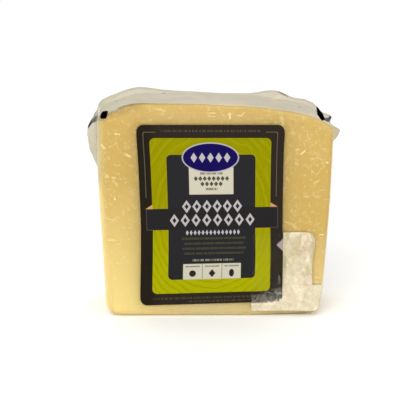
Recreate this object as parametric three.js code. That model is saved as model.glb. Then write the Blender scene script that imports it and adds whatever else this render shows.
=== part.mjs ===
// A portion of hard cheese shrunk into a clear bag, standing on its cut foot.
// A printed label is stuck on the front, and a clear crinkled sticker laps over the label's lower corner.
// Millimetres. The front faces -Y, +X is to the right of it and +Z is up.
import * as THREE from 'three';
import { mergeVertices } from 'three/addons/utils/BufferGeometryUtils.js';

// The block of cheese in its bag
const blockHeight = 96.4;
const blockDepth = 30;
const footLeft = -47.5;         // the block narrows towards its foot
const footRight = 48;
const headLeft = -50.6;
const headRight = 51.3;
const leftBendHeight = 63;      // the sides run straight up from here
const rightBendHeight = 56;
const lowBendRight = 49.5;      // the right side's other bend, a little above the foot
const lowBendHeight = 15;
const lowBendRadius = 8;
const bendRadius = 120;
const slopeStart = 15;          // right of here the cut top falls away
const slopeStartRadius = 60;
const slopeEnd = 42;
const slopeEndRadius = 14;
const slopeDrop = 4.6;
const rightShoulderDrop = 10.2; // the right shoulder's corner, below the top
const rightShoulderRadius = 4;
const leftSlopeStart = -34;     // left of here it falls away too
const leftSlopeStartRadius = 20;
const leftShoulderDrop = 5.8;
const leftShoulderRadius = 3;
const leftFootRadius = 7.5;
const rightFootRadius = 3.8;
const footRiseStart = 16;       // right of here the foot rises a little
const footRiseRadius = 60;
const footRise = 1.3;
const frontEdgeRadius = 2.4;
const seamEdgeRadius = 1.5;
const backInset = 2.4;          // the back is filled from this far inside the block's outline

// Where the bag stands off the block: its seam runs round the back, with an ear at each top corner
const flareStart = 0.25;        // share of the depth where the bag leaves the block
const flarePower = 4;           // 1 leaves it in a straight slope, more keeps the ears thin
const ears = [                  // the last is a small knot of film above the right ear
  { side: -1, height: 78, reach: 6.1, above: 15, below: 26 },
  { side: 1, height: 79.2, reach: 7, above: 4.2, below: 11.6 },
  { side: 1, height: 84.4, reach: 3.2, above: 2.8, below: 3.2 },
];
const ripples = [               // humps and dips of the seam along the top
  { centre: -38, rise: 2.6, halfWidth: 27 },
  { centre: -14, rise: 0.4, halfWidth: 12 },
  { centre: 8, rise: -0.5, halfWidth: 16 },
  { centre: 28, rise: 3.2, halfWidth: 13 },
  { centre: 43, rise: 2, halfWidth: 9 },
];

// The label and the sticker
const touchGap = 0.3;
const labelWidth = 63;
const labelHeight = 80.6;
const labelThickness = 0.4;
const labelRadius = 3.1;
const labelCentre = new THREE.Vector2(-1.2, 47);
const labelTilt = THREE.MathUtils.degToRad(0.9);
const stickerThickness = 0.35;
const stickerRadius = 4.5;      // its upper right corner
const stickerFootRadius = 3.4;  // its lower right corner
const stickerCutRadius = 1.3;   // its other corners
const stickerLeft = 17;
const stickerRight = 44.6;
const stickerFoot = 2.7;
const stickerTop = 39.6;
const tabFootRight = 47.3;      // its foot is wider and reaches the block's rounded edge
const tabTopRight = 48.3;
const tabTop = 15.2;
const stickerMargin = 0.6;      // it stays raised this far past the label's edge
const stickerRamp = 2.2;        // width of its slope down from there
const crinkleHeight = 0.22;
const crinkleLength = 5.5;

// How finely the surfaces are divided
const faceSteps = 30;
const frontEdgeSteps = 4;
const depthSteps = 9;
const seamCrowding = 1.7;       // 1 spaces the rings of the sides evenly, more crowds them at the seam
const seamSteps = 2;
const stickerSteps = 26;
const outlineSamples = 4000;
const edgeSamples = 600;        // enough to measure how far the block's edge is
const cornerCrowding = 0.6;     // 0 spaces the points of a side evenly, 1 crowds them at its corners

const cheeseUnderFilm = new THREE.MeshStandardMaterial({ color: 0xd9bf7c, roughness: 0.25, metalness: 0 });
const labelPrint = new THREE.MeshStandardMaterial({ color: 0x3a322c, roughness: 0.35, metalness: 0 });
const crumpledFilm = new THREE.MeshStandardMaterial({ color: 0xe9dcbc, roughness: 0.4, metalness: 0 });

const smooth = THREE.MathUtils.smoothstep;

// The block's outline seen from the front: corners of [x, z, radius]
const blockCorners = [
  [footLeft, 0, leftFootRadius],
  [footRiseStart, 0, footRiseRadius],
  [footRight, footRise, rightFootRadius],
  [lowBendRight, lowBendHeight, lowBendRadius],
  [headRight, rightBendHeight, bendRadius],
  [headRight, blockHeight - rightShoulderDrop, rightShoulderRadius],
  [slopeEnd, blockHeight - slopeDrop, slopeEndRadius],
  [slopeStart, blockHeight, slopeStartRadius],
  [leftSlopeStart, blockHeight, leftSlopeStartRadius],
  [headLeft, blockHeight - leftShoulderDrop, leftShoulderRadius],
  [headLeft, leftBendHeight, bendRadius],
];

// 1 at the centre, falling to 0 at the half width
function hump(distance, halfWidth) {
  return Math.abs(distance) < halfWidth ? Math.cos(0.5 * Math.PI * distance / halfWidth) ** 2 : 0;
}

// A closed path round corners of [x, z, radius], each rounded by a curve
function roundedPath(corners) {
  const path = new THREE.Path();
  corners.forEach(([x, z, radius], i) => {
    const corner = new THREE.Vector2(x, z);
    const before = new THREE.Vector2(...corners.at(i - 1)).sub(corner).normalize();
    const after = new THREE.Vector2(...corners[(i + 1) % corners.length]).sub(corner).normalize();
    const turn = Math.PI - before.angleTo(after);
    const cut = radius * Math.tan(turn / 2);
    const start = corner.clone().addScaledVector(before, cut);
    const end = corner.clone().addScaledVector(after, cut);
    if (i === 0) path.moveTo(start.x, start.y);
    else path.lineTo(start.x, start.y);
    path.quadraticCurveTo(x, z, end.x, end.y);
  });
  path.closePath();
  return path;
}

// The path's points in four stretches of equal count, which start at the four main corners
function ringOf(corners, mainCorners, steps) {
  const fine = roundedPath(corners).getSpacedPoints(outlineSamples).slice(0, -1);
  const starts = mainCorners.map((index) => {
    const corner = new THREE.Vector2(...corners[index]);
    const distances = fine.map((point) => point.distanceTo(corner));
    return distances.indexOf(Math.min(...distances));
  });
  return starts.flatMap((start, side) => {
    const length = (starts[(side + 1) % 4] - start + fine.length) % fine.length;
    return Array.from({ length: steps }, (_, i) => {
      const even = i / steps;
      const crowded = 0.5 - 0.5 * Math.cos(Math.PI * even);
      const share = THREE.MathUtils.lerp(even, crowded, cornerCrowding);
      return fine[(start + Math.round(share * length)) % fine.length];
    });
  });
}

// Every point of a ring moved outwards by its own distance
function offsetRing(ring, distance) {
  return ring.map((point, i) => {
    const along = ring[(i + 1) % ring.length].clone().sub(ring.at(i - 1)).normalize();
    const outwards = new THREE.Vector2(along.y, -along.x);
    return point.clone().addScaledVector(outwards, distance(point, outwards));
  });
}

// A grid of points that fills a ring, from its four stretches
function fillRing(ring, steps) {
  const count = ring.length;
  const foot = (i) => ring[i];
  const right = (j) => ring[steps + j];
  const top = (i) => ring[3 * steps - i];
  const left = (j) => ring[(count - j) % count];
  const blend = (u, v, key, i, j) => (1 - v) * foot(i)[key] + v * top(i)[key]
    + (1 - u) * left(j)[key] + u * right(j)[key]
    - (1 - u) * (1 - v) * foot(0)[key] - u * (1 - v) * right(0)[key]
    - u * v * top(steps)[key] - (1 - u) * v * top(0)[key];
  const grid = [];
  for (let j = 0; j <= steps; j++) {
    for (let i = 0; i <= steps; i++) {
      const u = i / steps;
      const v = j / steps;
      grid.push(new THREE.Vector2(blend(u, v, 'x', i, j), blend(u, v, 'y', i, j)));
    }
  }
  return grid;
}

// A closed body: rings of 3-D points from front to back, and a filled grid at either end
function bodyOf(rings, frontGrid, backGrid, steps) {
  const points = [...frontGrid, ...backGrid, ...rings.flat()];
  const triangles = [];
  const quad = (a, b, c, d) => triangles.push(a, b, c, a, c, d);
  const row = steps + 1;
  const back = frontGrid.length;
  for (let j = 0; j < steps; j++) {
    for (let i = 0; i < steps; i++) {
      const a = j * row + i;
      quad(a, a + 1, a + row + 1, a + row);
      quad(back + a, back + a + row, back + a + row + 1, back + a + 1);
    }
  }
  const count = rings[0].length;
  const firstRing = back + backGrid.length;
  for (let r = 0; r < rings.length - 1; r++) {
    for (let k = 0; k < count; k++) {
      const next = (k + 1) % count;
      const near = firstRing + r * count;
      quad(near + k, near + count + k, near + count + next, near + next);
    }
  }
  const geometry = new THREE.BufferGeometry().setFromPoints(points).setIndex(triangles);
  const body = mergeVertices(geometry, 1e-4);
  body.computeVertexNormals();
  return body;
}

// How far the bag stands off the block at its seam, for a point of the block's outline
function seamFlare(point, outwards) {
  const atEars = ears.map((ear) => {
    const away = point.y - ear.height;
    const facing = Math.max(0, ear.side * outwards.x);
    return facing * ear.reach * hump(away, away > 0 ? ear.above : ear.below);
  });
  const facingUp = Math.max(0, outwards.y);
  const atRipples = ripples.map((ripple) => {
    return facingUp * ripple.rise * hump(point.x - ripple.centre, ripple.halfWidth);
  });
  return [...atEars, ...atRipples].reduce((sum, height) => sum + height, 0);
}

function sealedPack() {
  const block = ringOf(blockCorners, [0, 2, 5, 9], faceSteps);
  const seam = offsetRing(block, seamFlare);
  const seamStart = blockDepth - seamEdgeRadius;
  const flaredTo = (y) => {
    const share = Math.max(0, (y / seamStart - flareStart) / (1 - flareStart)) ** flarePower;
    return block.map((point, i) => point.clone().lerp(seam[i], share));
  };
  const place = (ring, y) => ring.map((point) => new THREE.Vector3(point.x, y, point.y));
  const inset = (ring, distance) => offsetRing(ring, () => -distance);
  const rings = [];
  for (let i = 0; i < frontEdgeSteps; i++) {
    const angle = 0.5 * Math.PI * i / frontEdgeSteps;
    const ring = inset(block, frontEdgeRadius * (1 - Math.sin(angle)));
    rings.push(place(ring, frontEdgeRadius * (1 - Math.cos(angle))));
  }
  for (let i = 0; i <= depthSteps; i++) {
    const share = 1 - (1 - i / depthSteps) ** seamCrowding;
    const y = THREE.MathUtils.lerp(frontEdgeRadius, seamStart, share);
    rings.push(place(flaredTo(y), y));
  }
  for (let i = 1; i <= seamSteps; i++) {
    const angle = 0.5 * Math.PI * i / seamSteps;
    const ring = inset(seam, seamEdgeRadius * (1 - Math.cos(angle)));
    rings.push(place(ring, seamStart + seamEdgeRadius * Math.sin(angle)));
  }
  rings.push(place(inset(block, backInset), blockDepth));
  const front = place(fillRing(inset(block, frontEdgeRadius), faceSteps), 0);
  const back = place(fillRing(inset(block, backInset), faceSteps), blockDepth);
  return new THREE.Mesh(bodyOf(rings, front, back, faceSteps), cheeseUnderFilm);
}

function frontLabel() {
  const x = labelWidth / 2;
  const z = labelHeight / 2;
  const r = labelRadius;
  const outline = new THREE.Shape();
  outline.absarc(x - r, z - r, r, 0, Math.PI / 2);
  outline.absarc(-x + r, z - r, r, Math.PI / 2, Math.PI);
  outline.absarc(-x + r, -z + r, r, Math.PI, 1.5 * Math.PI);
  outline.absarc(x - r, -z + r, r, 1.5 * Math.PI, 2 * Math.PI);
  const settings = { depth: labelThickness, bevelEnabled: false, curveSegments: 8 };
  const plate = new THREE.ExtrudeGeometry(outline, settings);
  const label = new THREE.Mesh(plate, labelPrint);
  label.rotation.set(Math.PI / 2, -labelTilt, 0, 'YXZ');
  return label;
}

// Distance outside the label's edge, negative over the label
function pastLabelEdge(point) {
  const local = point.clone().sub(labelCentre).rotateAround(new THREE.Vector2(), -labelTilt);
  return Math.max(Math.abs(local.x) - labelWidth / 2, Math.abs(local.y) - labelHeight / 2);
}

// Folds of a crumpled sheet: crossed ridges of three directions
function crinkle({ x, y }) {
  const ridge = (angle, length) => {
    const across = x * Math.cos(angle) + y * Math.sin(angle);
    const sway = Math.sin((y * Math.cos(angle) - x * Math.sin(angle)) / length);
    return 1 - 2 * Math.abs(Math.sin(Math.PI * across / length + sway));
  };
  const sum = ridge(0.4, crinkleLength) + ridge(1.5, 1.3 * crinkleLength) + ridge(2.5, 0.8 * crinkleLength);
  return sum / 3;
}

function clearSticker() {
  const corners = [
    [stickerLeft, stickerFoot, stickerCutRadius],
    [tabFootRight, stickerFoot, stickerFootRadius],
    [tabTopRight, tabTop, stickerCutRadius],
    [stickerRight, tabTop, stickerCutRadius],
    [stickerRight, stickerTop, stickerRadius],
    [stickerLeft, stickerTop, stickerCutRadius],
  ];
  const ring = ringOf(corners, [0, 1, 4, 5], stickerSteps);
  const raised = labelThickness + touchGap;
  const blockOutline = roundedPath(blockCorners).getSpacedPoints(edgeSamples);
  // how far the block's rounded front edge has fallen back at a point
  const fallBack = (point) => {
    const inside = Math.min(...blockOutline.map((other) => other.distanceTo(point)));
    const past = Math.max(0, frontEdgeRadius - inside);
    return frontEdgeRadius - Math.sqrt(frontEdgeRadius ** 2 - past ** 2);
  };
  const lift = (point) => {
    const overLabel = 1 - smooth(pastLabelEdge(point), stickerMargin, stickerMargin + stickerRamp);
    return touchGap + raised * overLabel + crinkleHeight * (1 + crinkle(point)) - fallBack(point);
  };
  const sheet = (points, extra) => {
    return points.map((point) => new THREE.Vector3(point.x, -lift(point) - extra, point.y));
  };
  const grid = fillRing(ring, stickerSteps);
  const rings = [sheet(ring, stickerThickness), sheet(ring, 0)];
  const front = sheet(grid, stickerThickness);
  const back = sheet(grid, 0);
  return new THREE.Mesh(bodyOf(rings, front, back, stickerSteps), crumpledFilm);
}

const pack = sealedPack();
pack.name = 'sealed_pack';

const label = frontLabel();
label.name = 'front_label';
label.position.set(labelCentre.x, -touchGap, labelCentre.y);

const sticker = clearSticker();
sticker.name = 'clear_sticker';

// The origin is under the middle of the whole part
const packet = new THREE.Group();
packet.add(pack, label, sticker);
const extent = new THREE.Box3().setFromObject(packet, true);
packet.position.x = -(extent.min.x + extent.max.x) / 2;
packet.position.y = -(extent.min.y + extent.max.y) / 2;

const group = new THREE.Group();
group.add(packet);

export default group;
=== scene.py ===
import math
import random

import bmesh
import bpy
import numpy as np
from mathutils import Matrix, Vector, noise


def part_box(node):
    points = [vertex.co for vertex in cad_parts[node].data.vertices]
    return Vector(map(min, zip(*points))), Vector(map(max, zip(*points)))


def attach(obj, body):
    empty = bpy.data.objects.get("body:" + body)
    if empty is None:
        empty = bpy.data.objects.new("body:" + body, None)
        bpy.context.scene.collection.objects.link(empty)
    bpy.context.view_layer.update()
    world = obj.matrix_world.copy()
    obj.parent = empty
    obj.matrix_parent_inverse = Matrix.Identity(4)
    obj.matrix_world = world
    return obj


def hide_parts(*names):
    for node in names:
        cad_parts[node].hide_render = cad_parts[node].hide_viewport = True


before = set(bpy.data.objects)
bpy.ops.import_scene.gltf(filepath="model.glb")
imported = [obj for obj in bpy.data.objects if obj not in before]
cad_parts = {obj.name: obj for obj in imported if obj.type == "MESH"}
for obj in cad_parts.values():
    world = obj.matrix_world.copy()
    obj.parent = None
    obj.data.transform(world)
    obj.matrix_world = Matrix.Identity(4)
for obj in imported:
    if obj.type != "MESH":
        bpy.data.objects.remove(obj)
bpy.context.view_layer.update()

# places are in mm: right of the label's middle, behind the pack's front and above the label's middle
mm = 0.001
packLow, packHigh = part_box("sealed_pack")
labelLow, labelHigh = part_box("front_label")
stickerLow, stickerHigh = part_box("clear_sticker")
labelCentre = (labelLow + labelHigh) / 2
origin = Vector((labelCentre.x, packLow.y, labelCentre.z))
labelTilt = math.radians(0.9)


def colour(red, green, blue, alpha=1.0):
    # an 8-bit display colour as the linear colour that nodes take
    def linear(value):
        value /= 255
        return value / 12.92 if value <= 0.04045 else ((value + 0.055) / 1.055) ** 2.4
    return (linear(red), linear(green), linear(blue), alpha)


class Wire:
    # an output socket of a finish: Python's operators put Math nodes after it

    def __init__(self, finish, socket):
        self.finish = finish
        self.socket = socket

    def math(self, operation, *others, clamp=False):
        values = dict(enumerate((self,) + others))
        return self.finish.node("ShaderNodeMath", {"operation": operation, "use_clamp": clamp}, values)

    def __add__(self, other):
        return self.math("ADD", other)

    __radd__ = __add__

    def __mul__(self, other):
        return self.math("MULTIPLY", other)

    __rmul__ = __mul__

    def __sub__(self, other):
        return self.math("SUBTRACT", other)

    def __rsub__(self, other):
        return (self * -1) + other

    def __truediv__(self, other):
        return self.math("DIVIDE", other)

    def __abs__(self):
        return self.math("ABSOLUTE")

    def clamp(self):
        return self.math("ADD", 0, clamp=True)


class Finish:
    # a new material, whose nodes all come from node()

    def __init__(self, name):
        self.material = bpy.data.materials.new(name)
        self.material.use_nodes = True
        self.tree = self.material.node_tree
        self.tree.nodes.clear()

    def node(self, kind, settings=None, values=None, output=0):
        made = self.tree.nodes.new(kind)
        for key, value in (settings or {}).items():
            setattr(made, key, value)
        for key, value in (values or {}).items():
            if isinstance(value, Wire):
                self.tree.links.new(value.socket, made.inputs[key])
            else:
                made.inputs[key].default_value = value
        return Wire(self, made.outputs[output])

    def vector(self, operation, *values, output=0):
        return self.node("ShaderNodeVectorMath", {"operation": operation}, dict(enumerate(values)), output)

    def length(self, vector):
        return self.vector("LENGTH", vector, output="Value")

    def place(self):
        # the piece's own coordinates, in metres
        return self.node("ShaderNodeTexCoord", output="Object")

    def millimetres(self):
        moved = self.vector("SUBTRACT", self.place(), tuple(origin))
        return self.vector("MULTIPLY", moved, (1 / mm,) * 3)

    def labelPlane(self):
        # right of and above the label's middle along the label's own sides, in mm
        settings = {"rotation_type": "Y_AXIS"}
        values = {"Vector": self.millimetres(), "Angle": labelTilt}
        u, _, v = self.axes(self.node("ShaderNodeVectorRotate", settings, values))
        return u, v

    def pastBox(self, flat, field):
        # how far a point of a plane lies outside a field: its middle, half width and height and corner radius
        x, z, halfWidth, halfHeight, radius = field
        away = self.vector("ABSOLUTE", self.vector("SUBTRACT", flat, (x, z, 0)))
        past = self.vector("SUBTRACT", away, (halfWidth - radius, halfHeight - radius, 0))
        return self.length(self.vector("MAXIMUM", past, (0, 0, 0))) - radius

    def axes(self, vector):
        made = self.node("ShaderNodeSeparateXYZ", values={0: vector})
        return [Wire(self, made.socket.node.outputs[i]) for i in range(3)]

    def join(self, x, y, z=0.0):
        return self.node("ShaderNodeCombineXYZ", values={0: x, 1: y, 2: z})

    def noise(self, vector, scale, detail=2.0, roughness=0.5, distortion=0.0):
        values = {"Vector": vector, "Scale": scale, "Detail": detail, "Roughness": roughness}
        return self.node("ShaderNodeTexNoise", values={**values, "Distortion": distortion})

    def attribute(self, name):
        return self.node("ShaderNodeAttribute", {"attribute_name": name}, output="Fac")

    def mix(self, share, first, second):
        # two colours
        return self.node("ShaderNodeMix", {"data_type": "RGBA"}, {0: share, 6: first, 7: second}, 2)

    def ramp(self, value, low, high, start=0.0, end=1.0):
        # value from low to high becomes start to end, smoothly and no further
        settings = {"interpolation_type": "SMOOTHSTEP"}
        return self.node("ShaderNodeMapRange", settings, {0: value, 1: low, 2: high, 3: start, 4: end})

    def bump(self, height, distance, strength):
        values = {"Height": height, "Distance": distance, "Strength": strength}
        return self.node("ShaderNodeBump", values=values)

    def surface(self, **values):
        named = {key.replace("_", " "): value for key, value in values.items()}
        return self.node("ShaderNodeBsdfPrincipled", values=named)

    def mixShaders(self, share, first, second):
        return self.node("ShaderNodeMixShader", values={0: share, 1: first, 2: second})

    def finish(self, surface):
        out = self.tree.nodes.new("ShaderNodeOutputMaterial")
        self.tree.links.new(surface.socket, out.inputs["Surface"])
        return self.material


def newPiece(name, bm, material, replaced, smooth=True):
    # the bmesh becomes an object that rides on the part and stands for one of its nodes
    mesh = bpy.data.meshes.new(name)
    bm.to_mesh(mesh)
    bm.free()
    piece = bpy.data.objects.new(name, mesh)
    bpy.context.scene.collection.objects.link(piece)
    mesh.materials.append(material)
    if smooth:
        mesh.polygons.foreach_set("use_smooth", [True] * len(mesh.polygons))
    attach(piece, "root")
    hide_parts(replaced)
    print(name, "has", len(mesh.polygons), "faces")


def packCopy():
    # the pack's own form as four-sided faces
    bm = bmesh.new()
    bm.from_mesh(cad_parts["sealed_pack"].data)
    bmesh.ops.remove_doubles(bm, verts=bm.verts, dist=0.01 * mm)
    bend = math.radians(60)
    bmesh.ops.join_triangles(bm, faces=bm.faces, angle_face_threshold=bend, angle_shape_threshold=bend)
    return bm


def soften(bm, times):
    for _ in range(times):
        bmesh.ops.smooth_vert(
            bm,
            verts=bm.verts,
            factor=0.5,
            use_axis_x=True,
            use_axis_y=True,
            use_axis_z=True,
        )
    bm.normal_update()


def writeLayers(bm, layers):
    # a value for each point under each name, which the finishes read
    made = [(bm.verts.layers.float.new(name), values) for name, values in layers.items()]
    for index, vert in enumerate(bm.verts):
        for layer, values in made:
            vert[layer] = values[index]


def onPack(x, z, back=0.0):
    # a place in mm as one in metres
    return origin + Vector((x, back, z)) * mm


def placesOf(verts):
    # the other way, for all of a mesh's points: columns right, back and up
    return (np.array([vert.co for vert in verts]) - np.array(origin)) / mm


# how far out from the label's middle the block's edges start to be, to a side and to the top
edgeFrom = {0: 40, 2: 35}


def blockEdge(along, across, side):
    # the block's left, right or top edge, read just behind its front, where the bag lies close: how far along
    # the edge each of its points is, and where it lies across
    places = placesOf(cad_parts["sealed_pack"].data.vertices)
    nearFront = places[(places[:, 1] > 2) & (places[:, 1] < 6)]
    outer = nearFront[:, across] * side
    edge = nearFront[outer > edgeFrom[across]]
    edge = edge[np.argsort(edge[:, along])]
    return edge[:, along], edge[:, across]


def insideOf(places):
    # how far places lie inside the block's left, right and top edge, in mm
    left = places[:, 0] - np.interp(places[:, 2], *blockEdge(2, 0, -1))
    right = np.interp(places[:, 2], *blockEdge(2, 0, 1)) - places[:, 0]
    top = np.interp(places[:, 0], *blockEdge(0, 2, 1)) - places[:, 2]
    return left, right, top


def smoothStep(low, high, value):
    share = np.clip((value - low) / (high - low), 0, 1)
    return share * share * (3 - 2 * share)


def crumple(place, size):
    # flat facets of about this size, because the difference of two squared distances to nearest points is
    # flat between creases
    near = noise.voronoi(place / size, distance_metric="DISTANCE_SQUARED")[0][0]
    other = noise.voronoi(place / size + Vector((3.7, 1.3, 8.1)), distance_metric="DISTANCE_SQUARED")[0][0]
    return (near - other) * size


cheese = {
    "filmGap": 0.4,                # between the cheese and its bag, in mm
    "sag": 0.15,                   # and how much that varies
    # painted light: the upper colour is the shaded top, the lower one the lighter, lit foot and left
    "upper": colour(196, 162, 72),
    "lower": colour(236, 212, 132),
    "pale": colour(222, 196, 118),
    # painted shade for the top edge on the left
    "topEdgeShade": colour(156, 120, 22),
    "crystal": colour(236, 222, 176),
    "mottle": 0.3,                 # how far its clouds go to the pale colour
    "crystals": 0.3,               # and its grains to the crystals' colour
    "topEdgeShadeShare": 0.85,            # and its top edge on the left to a darker orange, painted shade
    "labelShade": 0.28,            # how much darker it is right beside the label
    "shadeReach": 3.5,             # and how far round it, in mm
    "translucency": 0.25,
}


def cheeseFinish():
    paint = Finish("cheese")
    place = paint.place()
    x, y, z = paint.axes(paint.millimetres())
    u, v = paint.labelPlane()
    cloud = paint.noise(place, 28, 3, 0.55, 0.4)
    fine = paint.noise(place, 420, 3, 0.6)
    grain = paint.noise(place, 1100, 2, 0.5)
    # painted light: lighter towards the foot and the left, with clouds in it
    low = z * -1 + x * -0.35 + (cloud - 0.5) * 30
    base = paint.mix(paint.ramp(low, -8, 62), cheese["upper"], cheese["lower"])
    mottle = paint.ramp(cloud + (fine - 0.5) * 0.5, 0.45, 0.8, 0.0, cheese["mottle"])
    base = paint.mix(mottle, base, cheese["pale"])
    # painted shade: a darker orange along the top edge on the left
    base = paint.mix(paint.attribute("topEdgeShade"), base, cheese["topEdgeShade"])
    crystals = paint.ramp(grain + (fine - 0.5), 0.62, 0.72, 0.0, cheese["crystals"])
    base = paint.mix(crystals, base, cheese["crystal"])
    past = paint.pastBox(paint.join(u, v), (0, 0, label["width"] / 2, label["height"] / 2, label["radius"]))
    shade = (past / -cheese["shadeReach"]).math("EXPONENT") * paint.ramp(y, 4, 8, cheese["labelShade"], 0.0)
    base = paint.vector("MULTIPLY", base, paint.join(1 - shade, 1 - shade, 1 - shade * 1.3))
    return paint.finish(paint.surface(
        Base_Color=base,
        Roughness=0.5,
        Specular_IOR_Level=0.2,
        Subsurface_Weight=cheese["translucency"],
        Subsurface_Radius=(1.0, 0.6, 0.25),
        Subsurface_Scale=2.0 * mm,
        Normal=paint.bump(fine, 0.1 * mm, 0.4),
    ))


def makeCheese():
    # the front half of the pack, where the bag lies close, and its mirror image
    bm = packCopy()
    middle = Vector((0, (packLow.y + packHigh.y) / 2, 0))
    bmesh.ops.translate(bm, verts=bm.verts, vec=-middle)
    everything = bm.verts[:] + bm.edges[:] + bm.faces[:]
    bmesh.ops.bisect_plane(bm, geom=everything, plane_co=(0, 0, 0), plane_no=(0, 1, 0), clear_outer=True)
    everything = bm.verts[:] + bm.edges[:] + bm.faces[:]
    bmesh.ops.mirror(bm, geom=everything, merge_dist=0.05 * mm, axis="Y")
    bmesh.ops.translate(bm, verts=bm.verts, vec=middle)
    bmesh.ops.recalc_face_normals(bm, faces=bm.faces)
    bmesh.ops.subdivide_edges(bm, edges=bm.edges, cuts=1, use_grid_fill=True)
    soften(bm, 1)
    places = placesOf(bm.verts)
    _, _, top = insideOf(places)
    # painted shade along the top edge on the left, fading away from it
    topEdgeShade = smoothStep(3.8, 1.2, top) * smoothStep(-26, -36, places[:, 0]) * cheese["topEdgeShadeShare"]
    writeLayers(bm, {"topEdgeShade": topEdgeShade})
    for vert in bm.verts:
        sag = noise.noise(vert.co * 60) * cheese["sag"]
        vert.co -= vert.normal * ((cheese["filmGap"] - sag) * mm)
    newPiece("cheese_block", bm, cheeseFinish(), "sealed_pack")


film = {
    "cuts": 3,                     # how finely the pack's faces are split, and again where the front shows
    "underLabel": 2.0,             # how far under the label's edge the front counts as shown, in mm
    "mirror": 0.045,               # share of light the film reflects head on
    "edgeMirror": 0.3,             # and at a glancing angle
    "gloss": 0.2,
    "grey": colour(182, 174, 150),
    "pink": colour(189, 177, 154),
    "green": colour(180, 174, 143),
    # painted shade for the rounded left edge
    "edge": colour(158, 150, 116),
    "lobe": colour(194, 183, 164),
    "yellowLobe": colour(188, 174, 134),
    # pale tone of the painted highlights and painted light
    "glint": colour(250, 226, 152),
    # grey-green of the painted shade in the folds, and of the specks
    "foldShadeAndSpecks": colour(66, 70, 58),
    # black of the corner marks and of the darker painted fold shade
    "ink": colour(3, 3, 3),
    "hazeRoughness": 0.4,
    "darkFoldShare": 0.8,                  # how fully its darker strokes, painted fold shade, cover it
    "topHaze": 0.88,               # how hazy the film is on top,
    "lobeHaze": 0.93,              # on the loose lobes
    "sideHaze": 0.86,              # and on the left side
    # painted light on the front: pale highlights on creases and along its edges and top, and light at its
    # foot
    "glintHaze": 1.0,              # how pale it goes where a crease catches the light,
    "leftRim": 0.62,               # along the front's left edge,
    "rightRim": 0.2,               # its right edge,
    "topRim": 0.16,                # its top
    "footRim": 0.6,                # and its foot
    "leftRimTop": 42,              # above this the left edge is clear
    "creaseHeight": 0.14,          # heights of its relief, in mm
    "swell": 0.1,
    "ripple": 0.04,
    "crumple": 0.1,
    "facet": 5.0,                  # size of the lobes' crumpled facets
    "backCreases": 24,
}

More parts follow.
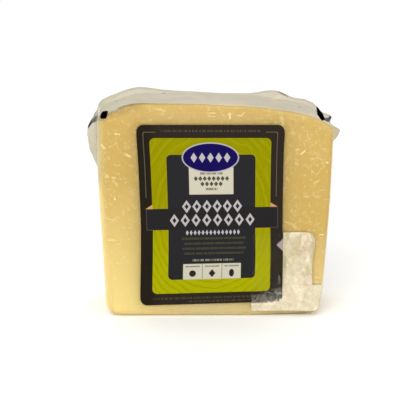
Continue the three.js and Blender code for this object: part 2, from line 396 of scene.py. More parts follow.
# creases of the film on the front, raised a little and painted pale as highlights: from and to, then strength
# and width
creases = [
    (-41.6, 36.4, -41.2, 36.35, 0.9, 0.42),
    (-40.3, 36.3, -39.8, 36.2, 0.9, 0.42),
    (-41.5, 33.8, -41.0, 31.1, 0.25, 0.45),
    (-41.0, 31.1, -39.2, 27.8, 0.3, 0.45),
    (-37.7, 27.8, -36.8, 27.4, 0.5, 0.45),
    (-36.8, 27.4, -35.3, 26.5, 0.85, 0.5),
    (-47.4, 31.6, -46.5, 30.2, 0.75, 0.8),
    (-44.5, 25.9, -44.3, 25.4, 0.5, 0.4),
    (-23.8, 47.3, -20.8, 46.6, 0.55, 1.1),
    (-22.5, 45.1, -20.0, 45.1, 0.45, 0.6),
    (-30.1, 48.6, -24.2, 48.1, 0.35, 0.45),
    (-15.3, 47.3, -15.7, 43.0, 0.35, 0.45),
    (-17.4, 43.8, -13.6, 43.6, 0.3, 0.45),
    (-9.8, 46.0, -3.0, 45.8, 0.35, 0.5),
    (-1.7, 45.6, 1.1, 45.6, 0.7, 0.5),
    (-1.7, 44.3, 0.9, 44.2, 0.6, 0.45),
    (4.1, 45.0, 4.7, 44.8, 0.5, 0.45),
    (7.0, 45.7, 7.3, 43.3, 0.9, 0.45),
    (10.5, 44.6, 12.2, 44.4, 0.7, 0.45),
    (12.0, 44.6, 13.6, 46.1, 0.6, 0.45),
    (13.7, 43.5, 13.7, 42.2, 0.35, 0.5),
    (18.4, 45.3, 28.7, 44.0, 0.2, 0.5),
    (29.7, 44.2, 30.0, 40.5, 0.5, 0.6),
    (32.5, 44.0, 36.0, 42.7, 0.35, 0.8),
    (-45.7, 17.7, -44.6, 17.4, 0.8, 0.45),
    (-43.1, 17.2, -41.8, 17.0, 0.7, 0.45),
    (-42.7, 16.1, -41.0, 13.9, 0.6, 0.4),
    (-42.1, 8.0, -41.9, 7.4, 1.0, 0.42),
    (-37.7, 16.5, -37.1, 16.6, 0.4, 0.4),
    (-44.6, -1.5, -41.6, -2.1, 0.5, 0.4),
    (-46.5, -1.0, -46.5, -1.9, 0.4, 0.5),
    (-44.9, -11.2, -41.6, -11.2, 0.85, 0.4),
    (-41.0, -13.1, -39.9, -13.1, 0.6, 0.4),
    (-45.2, -21.7, -38.2, -21.7, 0.35, 0.7),
    (-38.2, -19.8, -36.9, -19.8, 0.35, 0.4),
    (42.8, 25.6, 43.7, 25.6, 0.6, 0.4),
    (40.3, 22.9, 41.7, 22.0, 0.35, 0.7),
    (49.5, 24.0, 50.0, 24.0, 1.0, 0.42),
    (48.4, 22.5, 45.1, 18.2, 0.35, 0.4),
    (44.6, 14.9, 46.1, 15.8, 0.55, 0.6),
    (44.1, 9.9, 44.7, 10.1, 0.4, 0.42),
    (45.0, 9.0, 46.8, 8.6, 0.45, 0.7),
    (40.4, 8.7, 42.0, 8.7, 0.55, 0.4),
    (32.3, -2.6, 35.8, -4.0, 0.5, 0.42),
    (35.8, -4.0, 38.1, -6.3, 0.5, 0.42),
    (47.9, -8.6, 49.4, -8.6, 0.9, 0.4),
    (38.8, -1.5, 39.0, -7.0, 0.2, 0.4),
    (36.6, 29.8, 37.1, 29.6, 0.8, 0.42),
    (38.4, 27.8, 39.7, 29.1, 0.9, 0.5),
    (41.8, 30.7, 42.4, 31.1, 0.4, 0.4),
    (37.7, 37.5, 37.8, 34.0, 0.2, 0.45),
    (45.9, -13.0, 47.7, -14.4, 0.5, 0.5),
    (46.5, -28.6, 48.7, -28.6, 0.7, 0.45),
    (46.6, -31.0, 48.6, -31.0, 0.6, 0.5),
]

# and of the top, also painted pale as highlights, from and to given by how far right and how far behind the
# front
topCreases = [
    (27.5, 20.2, 31.1, 24.6, 0.9, 0.9),
    (31.1, 24.6, 34.4, 26.1, 0.9, 0.9),
    (35.0, 18.9, 38.9, 14.1, 0.9, 0.7),
    (28.0, 15.0, 35.0, 18.9, 0.7, 1.0),
    (-36.8, 21.0, -29.8, 15.0, 0.4, 0.9),
]

# the top is clear as far behind the front as this, from left to right
hazeAcross = (-46, -41, -36, -31, -27, -24, -7, 0, 6, 17, 24, 34, 43, 49, 52)
hazeBehind = (7.5, 6.2, 5.3, 3.0, 2.2, 1.9, 1.6, 1.1, 0.7, 0.5, 0.8, 1.2, 0.7, 1.1, 1.6)

# soft pale patches of the front, mostly painted light: middle, half width and height, share, and how warm
# they are, that is how much of the share is painted light rather than grey haze
patches = (
    (48.6, -22.0, 2.6, 15.0, 0.28, 1.0),
    (2.0, -43.6, 26.0, 2.6, 0.55, 0.5),
    (-5.0, 44.0, 34.0, 3.6, 0.14, 1.0),
)


def creaseHeight(points, start, end, height, width):
    # a ridge along a segment, fading past its ends
    start, end = np.array(start), np.array(end)
    length = np.linalg.norm(end - start)
    along = (end - start) / length
    local = points - start
    run = local @ along
    side = np.linalg.norm(local - np.outer(run, along), axis=1)
    beyond = np.maximum(0, np.abs(run - length / 2) - length / 2)
    return height * np.exp(-(side / width) ** 2 - (beyond / (1.2 * width)) ** 2)


def addCreases(points, table):
    rise = np.zeros(len(points))
    for x1, y1, x2, y2, height, width in table:
        rise = np.maximum(rise, creaseHeight(points, (x1, y1), (x2, y2), height, width))
    return rise


def smallCreases(rng, count, low, high, spread):
    # short creases at random in a rectangle, most of them nearly level
    table = []
    for _ in range(count):
        x, z = rng.uniform(low[0], high[0]), rng.uniform(low[1], high[1])
        angle = rng.gauss(0.0, spread)
        reach = rng.uniform(0.5, 1.8)
        dx, dz = reach * math.cos(angle), reach * math.sin(angle)
        table.append((x - dx, z - dz, x + dx, z + dz, rng.uniform(0.06, 0.2), rng.uniform(0.45, 0.8)))
    return table


def softPatch(points, x, z, halfWidth, halfHeight):
    across = (points[:, 0] - x) / halfWidth
    up = (points[:, 1] - z) / halfHeight
    return np.exp(-(across ** 2 + up ** 2) ** 2)


def splitPack():
    # the pack's form in small smooth faces, which are smaller still on the front round the label
    bm = packCopy()
    bmesh.ops.subdivide_edges(bm, edges=bm.edges, cuts=film["cuts"], use_grid_fill=True)
    soften(bm, 3)
    halfWidth = (label["width"] / 2 - film["underLabel"]) * mm
    halfHeight = (label["height"] / 2 - film["underLabel"]) * mm
    shown = set()
    for face in bm.faces:
        away = face.calc_center_median() - labelCentre
        if face.normal.y < -0.5 and (abs(away.x) > halfWidth or abs(away.z) > halfHeight):
            shown.update(face.edges)
    edges = [edge for edge in bm.edges if edge in shown]
    bmesh.ops.subdivide_edges(bm, edges=edges, cuts=1, use_grid_fill=True)
    bm.normal_update()
    return bm


def filmHazeAndLight(places, facingUp, onFront, fromHaze, swell, lobe, glare):
    # how grey and how warm the film is at each place: a grey haze and, lying over it, warm painted light of
    # highlights on creases and rims and of light that fills shade
    left, right, top = insideOf(places)
    across, behind, height = places.T
    foot = height + (origin.z - packLow.z) / mm
    nearFront = smoothStep(9, 2, behind)
    beside = smoothStep(8, 18, height + swell * 40)
    onSide = smoothStep(2.6, -0.5, left) * beside * smoothStep(22, 17, behind)
    # painted light where the haze begins, filling the shade that the haze casts on the cheese beneath
    atHaze = np.exp(-((fromHaze + 0.3) / 1.1) ** 2) * smoothStep(0.1, 0.3, facingUp)
    # painted highlight along the front's rounded left edge
    leftEdge = smoothStep(4.0, 0.4, left) * (1 - beside * 0.3) * (height < film["leftRimTop"])
    grey = np.maximum(lobe * film["lobeHaze"], onSide * film["sideHaze"])
    # the warm share is painted light: highlights on creases and along the front's edges and top, and light at
    # its foot and at the haze's edge
    warm = np.maximum.reduce([
        glare,
        leftEdge * nearFront * film["leftRim"],
        smoothStep(1.6, 0.2, right) * nearFront * film["rightRim"],
        smoothStep(5.0, 1.5, top) * onFront * film["topRim"],
        smoothStep(3.0, 0.6, foot) * nearFront * film["footRim"],
        atHaze * np.interp(across, (-34, -26), (0.2, 0.28)),
    ])
    # the patches add painted light in their warm share and grey haze in the rest
    for x, z, halfWidth, halfHeight, share, warmth in patches:
        there = softPatch(places[:, [0, 2]], x, z, halfWidth, halfHeight) * onFront * share
        warm = np.maximum(warm, there * warmth)
        grey = np.maximum(grey, there * (1 - warmth))
    return grey, warm


def makeFilm():
    bm = splitPack()
    places = placesOf(bm.verts)
    normals = np.array([vert.normal for vert in bm.verts])
    left, right, _ = insideOf(places)
    upright = places[:, [0, 2]]
    onFront = smoothStep(0.4, 0.8, -normals[:, 1])
    onBack = smoothStep(0.4, 0.8, normals[:, 1])
    onTop = smoothStep(0.15, 0.45, normals[:, 2])
    fromHaze = places[:, 1] - np.interp(places[:, 0], hazeAcross, hazeBehind)
    lobe = smoothStep(0.3, 1.6, np.maximum(-left, -right))

    backCreases = smallCreases(random.Random(11), film["backCreases"], (-46, -44), (46, 42), 0.8)
    glints = addCreases(upright, creases) * onFront
    glints = np.maximum(glints, addCreases(places[:, :2], topCreases) * onTop * (fromHaze > 0))
    ridges = glints * film["creaseHeight"] + addCreases(upright, backCreases) * onBack * 0.4
    swell = np.array([noise.noise(Vector(at) * 0.09) for at in places]) * film["swell"]
    ripple = np.array([noise.noise(Vector(at) * 0.3) for at in places]) * film["ripple"]
    crushed = np.array([crumple(Vector(at), film["facet"]) for at in places]) * film["crumple"] * lobe
    lift = np.maximum(ridges + swell + ripple + crushed, -0.3)
    # painted highlight: the creases' glints turn the film pale
    glare = glints ** 1.35 * (1 - onTop * 0.65) * film["glintHaze"]
    grey, warm = filmHazeAndLight(places, normals[:, 2], onFront, fromHaze, swell, lobe, glare)
    writeLayers(bm, {
        "grey": grey,
        "warm": warm,
        "lobe": lobe,
        "onTop": onTop,
        "fromHaze": np.clip(fromHaze, -4, 4),
    })
    for vert, up in zip(bm.verts, lift):
        vert.co += vert.normal * (up * mm)
    newPiece("film_bag", bm, filmFinish(), "sealed_pack")


# black marks on the film's top corners: on the left a patch over the edge, by right and by up and back, and
# on the right strokes, each from and to by right and back, and the radius at either end
darkCornerPatch = (-46.35, 43.25, 1.5, 1.95, 1.05)
darkCornerStrokes = (
    ((46.9, 2.3), (47.8, 10.0), 0.8, 1.8),
    ((47.8, 10.0), (49.1, 24.5), 1.8, 1.5),
    ((49.1, 24.5), (48.6, 28.3), 1.5, 0.5),
)
# painted shade in the lobes' folds and in a crease, each stroke from and to by right, back and up
foldShadeStrokes = (
    ((-50.0, 22.0, 38.7), (-51.2, 25.0, 37.5), 1.4, 1.3),
    ((-51.2, 25.0, 37.5), (-52.9, 27.1, 36.0), 1.3, 1.1),
    ((-52.9, 27.1, 36.0), (-54.7, 28.4, 33.6), 1.1, 0.6),
    ((-51.6, 28.0, 40.0), (-51.6, 26.2, 37.8), 0.5, 0.6),
    ((55.1, 28.6, 38.8), (54.3, 26.5, 37.3), 0.5, 0.6),
    ((54.3, 26.5, 37.3), (53.0, 25.2, 36.6), 0.6, 0.5),
    ((30.9, 28.3, 49.7), (34.5, 26.7, 47.8), 0.5, 0.6),
)
# and darker ones, painted shade in the lobes' folds
darkStrokes = (
    ((-52.9, 27.0, 35.6), (-55.0, 28.6, 33.0), 0.5, 0.7),
    ((55.0, 28.4, 38.6), (54.3, 26.5, 37.2), 0.9, 1.1),
    ((48.9, 5.5, 41.4), (52.0, 15.0, 39.6), 0.8, 1.8),
    ((52.0, 15.0, 39.6), (54.5, 26.5, 37.5), 1.8, 1.2),
)
specks = (
    ((-20.7, 23.3, 49.7), 0.8),
    ((-41.6, 20.3, 46.7), 0.6),
    ((38.6, 13.9, 45.6), 0.7),
)


def filmFinish():
    paint = Finish("clear film")
    place = paint.place()
    inMm = paint.millimetres()
    x, y, z = paint.axes(inMm)
    lobe = paint.attribute("lobe")
    warm = paint.attribute("warm")
    fromHaze = paint.attribute("fromHaze")
    topHaze = paint.attribute("onTop") * paint.ramp(fromHaze, -0.2, 0.3, 0.0, film["topHaze"])
    grey = paint.attribute("grey").math("MAXIMUM", topHaze)
    hazy = 1 - (1 - grey) * (1 - warm)
    cloud = paint.noise(place, 50, 3, 0.5, 0.4)
    streak = paint.noise(place, 260, 3, 0.6, 1.0)

    def stroke(at, start, end, startRadius, endRadius, wobble):
        # 1 along a line whose radius changes on the way
        start, end = Vector(start).to_3d(), Vector(end).to_3d()
        way = end - start
        local = paint.vector("SUBTRACT", at, tuple(start))
        run = paint.vector("DOT_PRODUCT", local, tuple(way / way.length_squared), output="Value").clamp()
        nearest = paint.vector("MULTIPLY", paint.join(run, run, run), tuple(way))
        away = paint.length(paint.vector("SUBTRACT", local, nearest)) + (streak - 0.5) * wobble
        past = away - (run * (endRadius - startRadius) + startRadius)
        return paint.ramp(past, -0.2, 0.2, 1.0, 0.0)

    flat = paint.join(x, y)
    # black marks on the film's top corners
    blackened = sum(stroke(flat, *line, 0.6) for line in darkCornerStrokes)
    blackened = blackened * paint.ramp(z, 37, 38) * paint.ramp(y, 29.2, 29.6, 1.0, 0.0)
    upAndBack = z * 0.96 + y * 0.28
    patch = paint.pastBox(paint.join(x - (upAndBack - darkCornerPatch[1]) * 0.16, upAndBack), darkCornerPatch)
    patch = paint.ramp(patch, -0.15, 0.15, 1.0, 0.0) * paint.ramp(y, 11.5, 12, 1.0, 0.0)
    blackened = (patch + blackened).clamp()
    # painted shade in the lobes' folds and a crease, and small dark specks on the top
    foldShadeAndSpecks = sum(stroke(inMm, *line, 1.6) for line in foldShadeStrokes) * paint.ramp(streak, 0.3, 0.5)
    for middle, radius in specks:
        away = paint.length(paint.vector("SUBTRACT", inMm, middle)) + (streak - 0.5) * 0.5
        foldShadeAndSpecks = paint.ramp(away, radius * 0.5, radius * 1.2, 0.8, 0.0) + foldShadeAndSpecks
    foldShadeAndSpecks = foldShadeAndSpecks.clamp()
    # painted shade: darker strokes in the lobes' folds, in black
    dark = sum(stroke(inMm, *line, 0.8) for line in darkStrokes).clamp()
    blackened = blackened.math("MAXIMUM", dark * film["darkFoldShare"])

    tone = paint.mix(paint.ramp(cloud, 0.35, 0.67), film["grey"], film["pink"])
    tone = paint.mix(paint.ramp(x, -32, -42, 0.0, 0.6), tone, film["green"])
    tone = paint.mix(lobe * paint.ramp(z, 44, 41), tone, film["lobe"])
    # painted shade: the film's rounded left edge goes darker
    leftEdge = paint.ramp(x, -46.5, -49.0, 0.0, 0.7) * paint.ramp(x, -52.5, -50.5)
    tone = paint.mix(leftEdge, tone, film["edge"])
    tone = paint.mix(paint.ramp(z, 22, 36, 0.7, 0.0), tone, film["green"])
    yellowish = paint.ramp(x, 60, 56.5, 0.0, 0.85) * paint.ramp(x, 49.5, 50.5) * paint.ramp(z, 36, 34.5)
    tone = paint.mix(yellowish, tone, film["yellowLobe"])
    # painted light: where the warm share is, the film takes the pale glint tone
    tone = paint.mix(warm / (grey + warm + 0.001), tone, film["glint"])
    # the painted fold shade and the specks darken the film's tone
    tone = paint.mix(foldShadeAndSpecks, tone, film["foldShadeAndSpecks"])
    wrinkle = paint.noise(place, 300, 3, 0.6, 0.8)
    bumpy = paint.bump(wrinkle, 0.1 * mm, 0.4)
    facing = paint.node("ShaderNodeLayerWeight", values={"Blend": 0.5, "Normal": bumpy}, output="Facing")
    mirror = facing.math("POWER", 5) * film["edgeMirror"] + film["mirror"]
    clear = paint.node("ShaderNodeBsdfTransparent", values={"Color": (0.98, 0.98, 0.97, 1)})
    shine = paint.node("ShaderNodeBsdfGlossy", values={
        "Color": (1, 1, 1, 1),
        "Roughness": film["gloss"],
        "Normal": bumpy,
    })
    soft = paint.bump(wrinkle, 0.1 * mm, 0.15)
    milky = paint.surface(Base_Color=tone, Roughness=film["hazeRoughness"], Normal=soft)
    # the black of the corner marks, and of the painted shade in the folds
    ink = paint.node("ShaderNodeBsdfDiffuse", values={"Color": film["ink"]})
    share = (hazy * paint.ramp(cloud, 0.35, 0.65, 0.96, 1.04)).math("MAXIMUM", foldShadeAndSpecks).clamp()
    seen = paint.mixShaders(share, paint.mixShaders(mirror, clear, shine), milky)
    return paint.finish(paint.mixShaders(blackened, seen, ink))


label = {
    "width": 63,
    "height": 80.6,
    "overhang": 0.3,               # how far its warped ends reach past that height
    "radius": 3.1,
    "thickness": 0.3,
    "cells": (14, 24),
    "frame": colour(42, 36, 29),
    # painted shade: the frame darker at the label's left
    "frameLeftShaded": colour(33, 28, 21),
    "limeHigh": colour(136, 132, 0),
    "limeLow": colour(157, 157, 0),
    "limeDark": colour(122, 124, 0),
    "limePale": colour(168, 164, 12),
    "ink": colour(37, 36, 38),
    "banner": colour(35, 33, 34),
    "tan": colour(186, 142, 82),
    "rule": colour(118, 104, 90),
    "cream": colour(190, 184, 164),
    "blue": colour(20, 12, 76),
    "silver": colour(172, 168, 168),
    "olive": colour(72, 70, 52),
}

# how far the label's left and right sides lie to the right of straight ones, from its foot to its head
bowUp = (-40, -36, -27, -18, -5, 9, 23, 30, 36, 40)
bowLeft = (-0.2, -0.2, 0.1, 0.42, 0.72, 0.45, 0.1, -0.25, -0.5, -0.6)
bowRight = (0.0, 0.0, -0.05, 0.0, -0.35, -0.44, -0.4, -0.3, -0.05, 0.0)

# fields of the print: middle, half width and height and corner radius
fields = {
    "lime": (-0.1, -0.3, 26.1, 35.1, 2.3),
    "inner": (0.0, -0.8, 19.3, 28.3, 2.0),
    "box": (0.0, 15.9, 9.7, 6.1, 0.2),
    "banner": (0.2, -1.1, 29.2, 4.8, 0.2),
    "strip": (0.1, -25.5, 12.8, 3.6, 0.2),
    "line": (-0.1, 0.0, 28.8, 37.5, 0.9),
}

# rows of print too small to read: middle, half width and height, pattern, how sparse, how strong, and colour
smallPrint = (
    (0, 37.8, 21, 0.45, 1, 0.5, 0.35, "rule"),
    (0, -37.6, 26, 0.4, 2, 0.5, 0.35, "rule"),
    (5, -39.1, 16, 0.3, 3, 0.5, 0.35, "rule"),
    (0.8, -10.2, 14.2, 0.5, 5, 0.42, 0.8, "olive"),
    (0.8, -12.5, 13.2, 0.5, 6, 0.42, 0.8, "olive"),
    (0.8, -14.8, 14.2, 0.5, 7, 0.42, 0.8, "olive"),
    (0.8, -17.1, 13.2, 0.5, 8, 0.42, 0.8, "olive"),
    (0.5, -20.2, 9, 0.45, 11, 0.5, 0.6, "cream"),
    (0.2, 19.2, 5, 0.45, 12, 0.45, 0.8, "ink"),
    (0.2, 12.2, 2.6, 0.5, 15, 0.4, 0.8, "ink"),
    (-8.5, -23.1, 3.2, 0.35, 11.5, 0.4, 0.7, "ink"),
    (0.1, -23.1, 3.2, 0.35, 20.1, 0.4, 0.7, "ink"),
    (8.8, -23.1, 3.2, 0.35, 28.8, 0.4, 0.7, "ink"),
)
# ovals in the same way: middle, half width and height, and colour
ovals = (
    (-0.2, 26.2, 12.4, 6.7, "silver"),
    (-0.2, 26.2, 11.9, 6.2, "blue"),
    (-8.5, -26.4, 1.5, 1.5, "ink"),
    (8.8, -26.4, 1.1, 1.8, "ink"),
)
# rows of lozenges: middle, how many, pitch, half width and height, how strong, and colour
lozengeRows = (
    (0.1, 16.9, 8, 1.95, 0.92, 1.15, 0.9, "ink"),
    (0.1, 14.5, 5, 2.0, 0.92, 1.15, 0.9, "ink"),
    (-0.2, 26.2, 5, 3.6, 1.4, 2.2, 1, "silver"),
    (0.15, -26.4, 1, 4, 1.5, 1.9, 1, "ink"),
    (0.4, -7.5, 14, 1.75, 0.65, 1.2, 1, "silver"),
)


def labelFinish():
    paint = Finish("label print")
    u, v, _ = paint.axes(paint.node("ShaderNodeTexCoord", output="UV"))
    flat = paint.join(u, v)
    blur = 0.12

    def box(field, grow=0.0, lean=None):
        # 1 in a field, which may be larger or leaning
        x, z, halfWidth, halfHeight, radius = field
        past = paint.pastBox(lean or flat, (x, z, halfWidth + grow, halfHeight + grow, radius))
        return paint.ramp(past, -blur, blur, 1.0, 0.0)

    def oval(x, z, halfWidth, halfHeight):
        away = paint.vector("DIVIDE", paint.vector("SUBTRACT", flat, (x, z, 0)), (halfWidth, halfHeight, 1))
        soft = blur / halfHeight
        return paint.ramp(paint.length(away), 1 - soft, 1 + soft, 1.0, 0.0)

    def lozenges(x, z, count, pitch, halfWidth, halfHeight):
        local = ((u - x) / pitch + count / 2).math("FRACT")
        across = abs(local - 0.5) * pitch
        reach = across / halfWidth + abs(v - z) / halfHeight
        inRow = box((x, z, count * pitch / 2, halfHeight + 1, 0.2))
        return paint.ramp(reach, 0.93, 1.07, 1.0, 0.0) * inRow

    def dashes(x, z, halfWidth, halfHeight, pattern, sparse):
        grain = paint.noise(paint.join(u * 1.4, pattern, 0), 1.0, 2)
        return box((x, z, halfWidth, halfHeight, 0.05)) * paint.ramp(grain, sparse - 0.04, sparse + 0.04)

    def rings(spacing, distortion):
        # wavy ovals about the label's middle
        values = {
            "Vector": paint.join(u * 0.8, v * 0.62),
            "Scale": 0.25 / spacing,
            "Distortion": distortion,
            "Detail": 2.0,
            "Detail Scale": 1.6,
        }
        settings = {"wave_type": "RINGS", "rings_direction": "Z"}
        return paint.node("ShaderNodeTexWave", settings, values, output="Fac")

    # painted shade: the frame goes darker towards the label's left
    shade = paint.mix(paint.ramp(u, -22, -28), label["frame"], label["frameLeftShaded"])
    outline = box(fields["line"]) - box(fields["line"], -0.3)
    ends = paint.ramp(v, 36, 37, 1.0, 0.0) + paint.ramp(abs(u), 23, 24)
    shade = paint.mix(outline * paint.ramp(v, 8, 9) * ends.clamp() * 0.6, shade, label["rule"])
    lime = paint.mix(paint.ramp(v, -30, 10), label["limeLow"], label["limeHigh"])
    lime = paint.mix(paint.ramp(rings(1.5, 3.0), 0.0, 0.4, 0.42, 0.0), lime, label["limeDark"])
    lime = paint.mix(paint.ramp(rings(2.1, 4.5), 0.7, 1.0, 0.0, 0.2), lime, label["limePale"])
    shade = paint.mix(box(fields["lime"]), shade, lime)
    shade = paint.mix(box(fields["inner"]), shade, label["ink"])
    shade = paint.mix(box(fields["box"]), shade, label["cream"])
    shade = paint.mix(box(fields["strip"]), shade, label["cream"])
    for x in (-4.2, 4.5):
        shade = paint.mix(box((x, -25.5, 0.12, 3.4, 0.05)), shade, label["olive"])
    for *row, strength, tone in smallPrint:
        shade = paint.mix(dashes(*row) * strength, shade, label[tone])
    for *place, tone in ovals:
        shade = paint.mix(oval(*place), shade, label[tone])

    # a banner across, whose ends are folded back
    lean = paint.join(u, v - u * 0.0065)
    bannerTop = fields["banner"][1] + fields["banner"][3]
    shade = paint.mix(box(fields["banner"], lean=lean), shade, label["banner"])
    ends = box(fields["banner"], lean=lean) - box(fields["banner"], -0.25, lean)
    shade = paint.mix(ends * paint.ramp(abs(u), 25.5, 26.5) * 0.4, shade, label["rule"])
    rise = v - u * 0.0065 - bannerTop
    corner = (abs(u) - 26.0) + rise * 1.6
    fold = paint.ramp(corner, 3.0, 3.4, 1.0, 0.0) * paint.ramp(rise, -0.1, 0.1)
    shade = paint.mix(fold * paint.ramp(abs(u), 25.9, 26.1), shade, label["tan"])
    for z, count, pitch in ((4.4, 6, 4.5), (-1.8, 8, 4.8)):
        glyphs = lozenges(0.2, z, count, pitch, 2.0, 2.9) - lozenges(0.2, z, count, pitch, 0.9, 1.3)
        shade = paint.mix(glyphs, shade, label["silver"])
    for *row, strength, tone in lozengeRows:
        shade = paint.mix(lozenges(*row) * strength, shade, label[tone])
    grain = paint.noise(paint.place(), 900, 2)
    return paint.finish(paint.surface(
        Base_Color=shade,
        Roughness=0.38,
        Specular_IOR_Level=0.02,
        Normal=paint.bump(grain, 0.02 * mm, 0.3),
    ))


def roundedSheet(low, high, radii, cells):
    # an upright sheet in mm with rounded corners, cut into cells
    bm = bmesh.new()
    corners = [(low[0], low[1]), (high[0], low[1]), (high[0], high[1]), (low[0], high[1])]
    bm.faces.new([bm.verts.new((x, 0, z)) for x, z in corners])
    for (x, z), radius in zip(corners, radii):
        corner = min(bm.verts, key=lambda v: (v.co - Vector((x, 0, z))).length)
        bmesh.ops.bevel(
            bm,
            geom=[corner],
            offset=radius,
            offset_type="OFFSET",
            affect="VERTICES",
            segments=6,
            profile=0.5,
            material=-1,
        )
    for axis, count in ((0, cells[0]), (2, cells[1])):
        start, end = low[axis // 2], high[axis // 2]
        for step in range(1, count):
            cut = Vector((0, 0, 0))
            cut[axis] = start + (end - start) * step / count
            across = Vector((0, 0, 0))
            across[axis] = 1
            everything = bm.verts[:] + bm.edges[:] + bm.faces[:]
            bmesh.ops.bisect_plane(bm, geom=everything, plane_co=cut, plane_no=across)
    return bm


def thicken(bm, thickness):
    # a sheet that faces -Y gets a back, and its outside faces outwards
    bmesh.ops.recalc_face_normals(bm, faces=bm.faces)
    if sum(face.normal.y * face.calc_area() for face in bm.faces) > 0:
        bmesh.ops.reverse_faces(bm, faces=bm.faces)
    bmesh.ops.solidify(bm, geom=bm.faces[:], thickness=thickness)
    bmesh.ops.recalc_face_normals(bm, faces=bm.faces)


def makeLabel():
    halfWidth, halfHeight = label["width"] / 2, label["height"] / 2
    low, high = (-halfWidth, -halfHeight), (halfWidth, halfHeight)
    bm = roundedSheet(low, high, [label["radius"]] * 4, label["cells"])
    printMap = bm.loops.layers.uv.new("print")
    for face in bm.faces:
        for loop in face.loops:
            loop[printMap].uv = (loop.vert.co.x, loop.vert.co.z)
    for vert in bm.verts:
        # it lies a little crooked: its sides bow and its left is taller
        u, v = vert.co.x, vert.co.z
        share = (u + halfWidth) / label["width"]
        vert.co.x += (1 - share) * np.interp(v, bowUp, bowLeft) + share * np.interp(v, bowUp, bowRight)
        vert.co.z += v * -0.00033 * u + 0.2 * smoothStep(35, 40, v) - 0.45 * smoothStep(-35, -40, v)
        vert.co.y += noise.noise(vert.co * 0.035) * 0.06
    bmesh.ops.scale(bm, verts=bm.verts, vec=(mm, mm, mm))
    bmesh.ops.rotate(bm, verts=bm.verts, cent=(0, 0, 0), matrix=Matrix.Rotation(-labelTilt, 3, "Y"))
    bmesh.ops.translate(bm, verts=bm.verts, vec=onPack(0, 0, -0.35))
    thicken(bm, label["thickness"] * mm)
    newPiece("printed_label", bm, labelFinish(), "front_label", smooth=False)


sticker = {
    "cells": (72, 94),
    "radii": (1.3, 3.0, 5.0, 1.3),
    "thickness": 0.1,
    "lie": 0.5,                    # how far it lies in front of the pack, in mm
    "overLabelLift": 0.65,         # and how much more over the label
    "straightTo": 24,              # right of this it stretches to its uneven right edge
    "bend": 2.4,                   # radius of the block's front edge
    "facet": 3.6,                  # size of its crumpled facets
    "stretch": 1.5,                # how much taller than wide they are
    "crumple": 0.1,
    "contrast": 0.4,               # painted light and shade between its facets
    "milky": 0.88,                 # how milky it is beside the label
    # over the label its milky look is partly painted reflection off its crinkles
    "veil": 0.02,                  # and over it,
    "cornerMottles": 0.75,         # and at most over the label's corner
    "roughness": 0.3,
    "dark": colour(190, 175, 138),
    "bright": colour(236, 225, 196),
    "rosy": colour(232, 206, 176),
    "green": colour(208, 200, 148),
    # painted shade in its creases
    "crease": colour(158, 136, 92),
    # bluish grey over the label, partly painted reflection off the crinkles
    "overLabel": colour(146, 142, 130),
    "tip": colour(172, 154, 158),
}

# lighter, darker, rosier and greener places of the sticker, their light painted light and shade of its
# facets: middle, half width and height, light and rosiness
facets = (
    (42.6, -19.6, 1.0, 2.6, 0.7, 0.6),
    (41.2, -10.8, 3.2, 2.6, 0.1, 0.9),
    (36.0, -9.7, 2.2, 2.4, 0.2, -0.5),
    (37.4, -17.0, 3.6, 2.4, -0.25, -0.6),
    (33.0, -19.5, 1.2, 5.0, 0.0, -0.9),
    (43.3, -24.0, 1.6, 1.6, -0.1, -0.8),
    (33.8, -22.6, 0.6, 0.6, 0.7, 0.2),
    (41.2, -25.0, 0.8, 0.9, 0.6, 0.3),
    (37.8, -29.4, 1.0, 0.9, 0.6, 0.2),
    (38.6, -34.0, 4.0, 2.0, 0.15, 0.2),
    (25.8, -41.8, 3.2, 1.6, 0.3, -0.3),
    (47.4, -34.0, 2.4, 2.2, 0.3, -0.6),
    (42.8, -35.6, 1.8, 3.6, -0.3, 0.4),
    (47.0, -40.0, 1.4, 2.4, 0.2, -0.7),
)
# its right edge and the line right of which it is clear, from its foot to its head
rightUp = (-44.5, -38, -31.9, -31.8, -26, -21, -18, -11, -7)
rightEdge = (48.9, 49.6, 50.2, 45.4, 45.2, 45.0, 45.3, 46.1, 46.1)
milkyEdge = (60, 60, 60, 45.8, 44.9, 43.9, 44.2, 44.3, 43.0)
# the line below which its milky part hides the label, from left to right
hiddenAcross = (15, 22.5, 26, 30, 31.5)
hiddenUp = (-42, -40.4, -39.6, -39.2, -37.8)


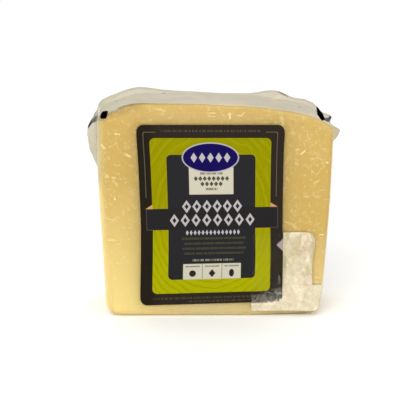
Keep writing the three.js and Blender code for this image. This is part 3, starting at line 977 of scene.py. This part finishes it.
def stickerFinish():
    paint = Finish("crumpled sticker")
    place = paint.place()
    x, _, z = paint.axes(paint.millimetres())
    u, v = paint.labelPlane()
    halfWidth, halfHeight = label["width"] / 2, label["height"] / 2 + label["overhang"]
    past = paint.pastBox(paint.join(u, v), (0, 0, halfWidth, halfHeight, label["radius"]))
    over = paint.ramp(past, -0.1, 0.1, 1.0, 0.0) * paint.attribute("shown")
    patch = paint.noise(place, 520, 2, 0.6, 0.8)
    wander = paint.noise(place, 240, 2)

    def facetsOf(size, shift):
        # each facet's two random values, and how close its edge is
        at = paint.join(x / size + shift + wander * 0.4, z / (size * sticker["stretch"]) + wander * 0.3)
        flat = {"voronoi_dimensions": "2D"}
        values = {"Vector": at, "Scale": 1.0}
        chance = paint.axes(paint.node("ShaderNodeTexVoronoi", flat, values, output="Color"))
        toEdge = {**flat, "feature": "DISTANCE_TO_EDGE"}
        edge = paint.node("ShaderNodeTexVoronoi", toEdge, values, output="Distance")
        return chance[0] - 0.5, chance[1] - 0.5, edge * size

    size = sticker["facet"]
    large, rosyLarge, largeEdge = facetsOf(size, 0.3)
    small, rosySmall, _ = facetsOf(size * 0.4, 7.0)
    # painted light and shade: facets lighter and darker at random, over the light that the places give
    light = paint.attribute("light") + (large + small * 0.8) * sticker["contrast"]
    rosiness = paint.attribute("rosiness") + rosyLarge * 1.2 + rosySmall * 0.5
    tone = paint.mix(light.clamp(), sticker["dark"], sticker["bright"])
    tone = paint.mix(rosiness.clamp() * 0.6, tone, sticker["rosy"])
    tone = paint.mix((rosiness * -1).clamp() * 0.5, tone, sticker["green"])
    # painted shade along the edges of its facets, where it creases
    crease = paint.ramp(largeEdge, 0.0, 0.5, 0.3, 0.0) * paint.ramp(wander, 0.5, 0.6)
    tone = paint.mix(crease * paint.attribute("folds"), tone, sticker["crease"])
    tip = paint.attribute("tip")
    tone = paint.mix(over, tone, paint.mix(tip, sticker["overLabel"], sticker["tip"]))
    share = paint.attribute("milkiness") * paint.ramp(patch, 0.3, 0.6, 0.92, 1.05)
    share = share * (1 - over) + tip * over * 0.7
    mottle = paint.noise(place, 900, 3, 0.6, 0.8)
    # over the label: pale mottles, partly its own milkiness and partly painted reflection off its crinkles
    mottles = paint.attribute("mottles") * paint.ramp(mottle, 0.42, 0.62, 0.08, 1.0) * over
    clear = paint.node("ShaderNodeBsdfTransparent", values={"Color": (1, 1, 1, 1)})
    milky = paint.surface(Base_Color=tone, Roughness=sticker["roughness"])
    return paint.finish(paint.mixShaders(share.math("MAXIMUM", mottles).clamp(), clear, milky))


def pastLabel(x, z):
    # how far places lie outside the label, in mm
    u = x - z * math.sin(labelTilt)
    v = z + x * math.sin(labelTilt)
    across = np.maximum(np.abs(u) - (label["width"] / 2 - label["radius"]), 0)
    along = np.maximum(np.abs(v) - (label["height"] / 2 + label["overhang"] - label["radius"]), 0)
    return np.hypot(across, along) - label["radius"]


def stickerLook(places):
    # what the sticker's finish reads at each place
    x, z = places[:, 0], places[:, 2]
    upright = places[:, [0, 2]]
    belowTop = (stickerHigh.z - origin.z) / mm - z
    # lighter towards its foot
    light = np.interp(z, (-44, -36, -26, -18, -8), (0.8, 0.75, 0.5, 0.3, 0.25))
    # painted highlight along its top edge
    light += smoothStep(0.8, 0.2, belowTop) * 0.5
    rosiness = np.zeros(len(x))
    for midX, midZ, halfWidth, halfHeight, lighter, rosier in facets:
        there = softPatch(upright, midX, midZ, halfWidth, halfHeight)
        light += there * lighter
        rosiness += there * rosier

    milkiness = sticker["milky"] * (1 - 0.4 * softPatch(upright, 32.4, -24.0, 1.2, 7.0))
    margin = smoothStep(0.0, 0.5, x - np.interp(z, rightUp, milkyEdge))
    milkiness += margin * (np.interp(z, (-24, -17), (0.4, 0.55)) - milkiness)
    # painted light in the clear margin, where the milky part's shade falls
    light += margin * 0.3
    corner = smoothStep(-31, -37, z + 0.35 * (31 - x))
    streak = softPatch(upright, 30.4, -29.5, 0.5, 2.8) * 0.35
    wander = np.array([noise.noise(Vector(at) * 0.9) for at in places])
    hidden = np.interp(x, hiddenAcross, hiddenUp) + wander * 1.2
    return {
        "milkiness": milkiness,
        "light": light,
        "rosiness": rosiness,
        "shown": smoothStep(-1.0, 1.0, z - hidden),
        "mottles": np.clip(np.maximum(sticker["cornerMottles"] * corner, streak), sticker["veil"], 1),
        "tip": smoothStep(-0.2, 0.3, (x - 28.7) - np.abs(z + 13.0)),
        # how strongly the painted crease shade shows, up its height
        "folds": np.interp(z, (-40, -28), (0.4, 1.0)),
    }


def makeSticker():
    low = (stickerLow.x / mm, stickerLow.z / mm)
    high = (stickerHigh.x / mm, stickerHigh.z / mm)
    bm = roundedSheet(low, high, sticker["radii"], sticker["cells"])
    bmesh.ops.scale(bm, verts=bm.verts, vec=(mm, mm, mm))
    bmesh.ops.translate(bm, verts=bm.verts, vec=(0, packLow.y, 0))
    places = placesOf(bm.verts)
    x, z = places[:, 0], places[:, 2]

    # its right edge isn't straight, and at the foot it bends back with the block's edge
    wide, straight = sticker["straightTo"], (stickerHigh.x - origin.x) / mm
    x += np.clip((x - wide) / (straight - wide), 0, 1) * (np.interp(z, rightUp, rightEdge) - straight)
    bend = sticker["bend"]
    past = np.clip(bend - insideOf(places)[1], 0, bend * 0.95)
    bentBack = bend - np.sqrt(bend ** 2 - past ** 2)

    folds = np.zeros(len(x))
    for scale, height in ((1.0, 1.0), (0.4, 0.5)):
        for index, at in enumerate(places):
            facet = Vector((at[0], 0, at[2] / sticker["stretch"]))
            folds[index] += crumple(facet, sticker["facet"] * scale) * sticker["crumple"] * height
    lifted = 1 - smoothStep(0.3, 2.3, pastLabel(x, z))
    rise = sticker["lie"] + sticker["overLabelLift"] * lifted + folds * (1 - 0.5 * lifted) - bentBack
    writeLayers(bm, stickerLook(places))
    for index, vert in enumerate(bm.verts):
        vert.co.x = origin.x + x[index] * mm
        vert.co.y -= rise[index] * mm
    thicken(bm, sticker["thickness"] * mm)
    newPiece("crumpled_sticker", bm, stickerFinish(), "clear_sticker")


makeCheese()
makeFilm()
makeLabel()
makeSticker()

stage = {
    "floorSide": 8.0,
    "floor": (0.96, 0.96, 0.965, 1),
    "world": (1.0, 1.0, 0.99, 1),
    "worldStrength": 1.0,
    "keyPower": 8,
    "keySide": 0.8,
    "keyPlace": (-0.45, -1.0, 1.0),
    "keyAim": (0, 0, 0.05),
}


def makeFloor():
    bm = bmesh.new()
    bmesh.ops.create_grid(bm, x_segments=1, y_segments=1, size=stage["floorSide"] / 2)
    mesh = bpy.data.meshes.new("floor")
    bm.to_mesh(mesh)
    bm.free()
    floor = bpy.data.objects.new("floor", mesh)
    bpy.context.scene.collection.objects.link(floor)
    paint = Finish("pale floor")
    mesh.materials.append(paint.finish(paint.node("ShaderNodeBsdfDiffuse", values={"Color": stage["floor"]})))


def makeLights():
    world = bpy.data.worlds.new("studio")
    bpy.context.scene.world = world
    world.use_nodes = True
    background = world.node_tree.nodes["Background"]
    background.inputs["Color"].default_value = stage["world"]
    background.inputs["Strength"].default_value = stage["worldStrength"]
    lamp = bpy.data.lights.new("key", "AREA")
    lamp.size = stage["keySide"]
    lamp.energy = stage["keyPower"]
    panel = bpy.data.objects.new("key", lamp)
    bpy.context.scene.collection.objects.link(panel)
    panel.location = stage["keyPlace"]
    toObject = Vector(stage["keyAim"]) - panel.location
    panel.rotation_euler = toObject.to_track_quat("-Z", "Y").to_euler()
    panel.visible_camera = False
    panel.visible_glossy = False


def makeCamera():
    view = {"yaw": -2.28, "elevation": 15.98, "roll": 0.67, "distance": 0.5, "lens": 103.6}
    aim = onPack(-5.08, 7.16)
    turn = Matrix.Rotation(math.radians(view["yaw"]), 4, "Z")
    tip = Matrix.Rotation(math.radians(90 - view["elevation"]), 4, "X")
    roll = Matrix.Rotation(math.radians(view["roll"]), 4, "Z")
    rotation = turn @ tip @ roll
    lens = bpy.data.cameras.new("camera")
    lens.lens = view["lens"]
    lens.sensor_width = 36
    camera = bpy.data.objects.new("camera", lens)
    bpy.context.scene.collection.objects.link(camera)
    eye = aim + view["distance"] * (rotation @ Vector((0, 0, 1)))
    camera.matrix_world = Matrix.Translation(eye) @ rotation
    bpy.context.scene.camera = camera


makeFloor()
makeLights()
makeCamera()
bpy.context.scene.view_settings.view_transform = "Standard"
print("stage, lights and camera are in place")
